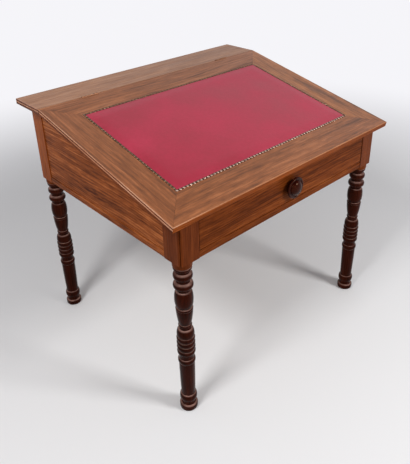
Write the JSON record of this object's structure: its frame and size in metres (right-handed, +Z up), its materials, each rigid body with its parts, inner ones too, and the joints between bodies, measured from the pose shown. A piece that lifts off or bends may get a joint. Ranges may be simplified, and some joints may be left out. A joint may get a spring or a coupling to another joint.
{
  "type": "slant-front writing desk",
  "caption": "Slant-front writing desk on turned legs: a sloping lid faced with nailed leather lifts at the rear shelf over a compartment, with a wide drawer and turned knob below.",
  "frame": {"origin": "on the floor, under the middle of the whole desk's box", "axes": "+X to the right as seen from the chair in front of the desk, +Y from the drawer to the back, +Z up"},
  "size_m": [0.972, 0.797, 0.853],
  "materials": {
    "post_wood": "red brown, polished",
    "leg_wood": "near black, glossy",
    "case_wood": "brown, polished",
    "top_wood": "worn, satin",
    "box_wood": "unpolished",
    "knob_wood": "near black, glossy",
    "crimson_leather": "satin",
    "old_brass": "aged"
  },
  "bodies": {
    "case": {"corner_post_front_left": "post_wood", "corner_post_front_right": "post_wood", "corner_post_rear_left": "post_wood", "corner_post_rear_right": "post_wood", "turned_leg_front_left": "leg_wood", "turned_leg_front_right": "leg_wood", "turned_leg_rear_left": "leg_wood", "turned_leg_rear_right": "leg_wood", "side_panel_left": "case_wood", "side_panel_right": "case_wood", "side_rail_left": "case_wood", "side_rail_right": "case_wood", "front_bottom_rail": "case_wood", "front_top_rail": "case_wood", "back_bottom_rail": "case_wood", "fold_rail": "case_wood", "rear_shelf": "top_wood", "floor_cleat_left": "box_wood", "floor_cleat_right": "box_wood", "drawer_guide_left": "box_wood", "drawer_guide_right": "box_wood", "drawer_runner_left": "box_wood", "drawer_runner_right": "box_wood", "drawer_stop_left": "box_wood", "drawer_stop_right": "box_wood", "back_panel": "box_wood", "compartment_floor": "box_wood", "hinge_case_leaf_left": "old_brass", "hinge_case_leaf_right": "old_brass", "hinge_pin_left": "old_brass", "hinge_pin_right": "old_brass", "hinge_screw_case_left_1": "old_brass", "hinge_screw_case_left_2": "old_brass", "hinge_screw_case_right_1": "old_brass", "hinge_screw_case_right_2": "old_brass"},
    "lid": {"lid_frame_front": "top_wood", "lid_frame_rear": "top_wood", "lid_frame_left": "top_wood", "lid_frame_right": "top_wood", "lid_panel": "box_wood", "leather_panel": "crimson_leather", "leather_nails": "old_brass", "hinge_lid_leaf_left": "old_brass", "hinge_lid_leaf_right": "old_brass", "hinge_screw_lid_left_1": "old_brass", "hinge_screw_lid_left_2": "old_brass", "hinge_screw_lid_right_1": "old_brass", "hinge_screw_lid_right_2": "old_brass"},
    "drawer": {"drawer_front": "case_wood", "drawer_side_left": "box_wood", "drawer_side_right": "box_wood", "drawer_back": "box_wood", "drawer_bottom": "box_wood", "drawer_knob": "knob_wood"}
  },
  "joints": [
    {"name": "lid_hinge", "type": "hinge", "parent": "case", "child": "lid", "pos_m": [0, 0.2465, 0.85], "axis": [-1, 0, 0], "range_deg": [0, 105]},
    {"name": "drawer_slide", "type": "slide", "parent": "case", "child": "drawer", "axis": [0, -1, 0], "range_m": [0, 0.36]}
  ]
}
